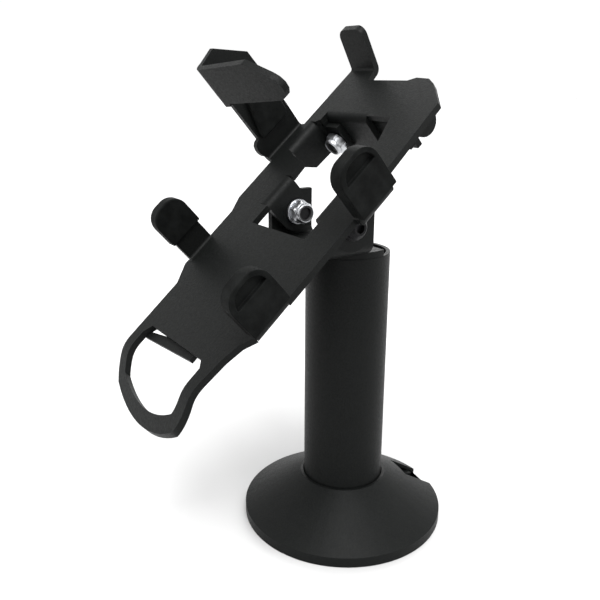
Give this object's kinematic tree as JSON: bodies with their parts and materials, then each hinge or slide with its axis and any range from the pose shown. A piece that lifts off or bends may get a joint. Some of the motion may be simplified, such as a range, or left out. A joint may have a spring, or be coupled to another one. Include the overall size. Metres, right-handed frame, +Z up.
{
  "type": "card payment terminal stand",
  "caption": "Counter stand for a handheld card payment terminal: sheet-steel cradle with rubber-capped hooks, tilting on a yoke above a swivelling pole and a round screw-down base.",
  "frame": {"origin": "centre of the base's underside, on the pole's axis, at the counter", "axes": "+Z up along the pole, -Y towards the user, +X to the user's right"},
  "size_m": [0.1019, 0.1596, 0.2417],
  "materials": {
    "black_powder_coat": "matte, finely textured",
    "black_rubber": "matte",
    "zinc_plated_steel": "bright",
    "black_oxide_steel": "satin",
    "nylon": "matte"
  },
  "bodies": {
    "base": {"base_plate": "black_powder_coat", "foot_pad": "black_rubber", "swivel_post": "zinc_plated_steel", "base_cover": "black_powder_coat", "retaining_ring": "zinc_plated_steel"},
    "pole": {"pole_tube": "black_powder_coat", "lower_bush": "nylon", "upper_bush": "nylon", "pole_cap": "black_powder_coat", "yoke": "black_powder_coat", "yoke_screws": "black_oxide_steel", "yoke_nuts": "zinc_plated_steel", "tilt_bolts": "black_oxide_steel", "head_washers": "black_oxide_steel", "friction_washers": "nylon", "nut_washers": "zinc_plated_steel", "tilt_nuts": "zinc_plated_steel", "nut_inserts": "nylon"},
    "cradle": {"cradle_plate": "black_powder_coat", "cap_lower_left": "black_rubber", "cap_lower_right": "black_rubber", "cap_upper_right": "black_rubber", "arm_pad": "black_rubber", "corner_bolt": "black_oxide_steel", "corner_washer": "black_oxide_steel", "corner_nut": "zinc_plated_steel", "corner_insert": "nylon", "rear_bracket": "black_powder_coat"}
  },
  "joints": [
    {"name": "pole_swivel", "type": "hinge", "parent": "base", "child": "pole", "pos_m": [0, 0, 0], "axis": [0, 0, 1], "continuous": true},
    {"name": "cradle_tilt", "type": "hinge", "parent": "pole", "child": "cradle", "pos_m": [0, -0.017, 0.1572], "axis": [1, 0, 0], "range_deg": [-41, 34]}
  ]
}
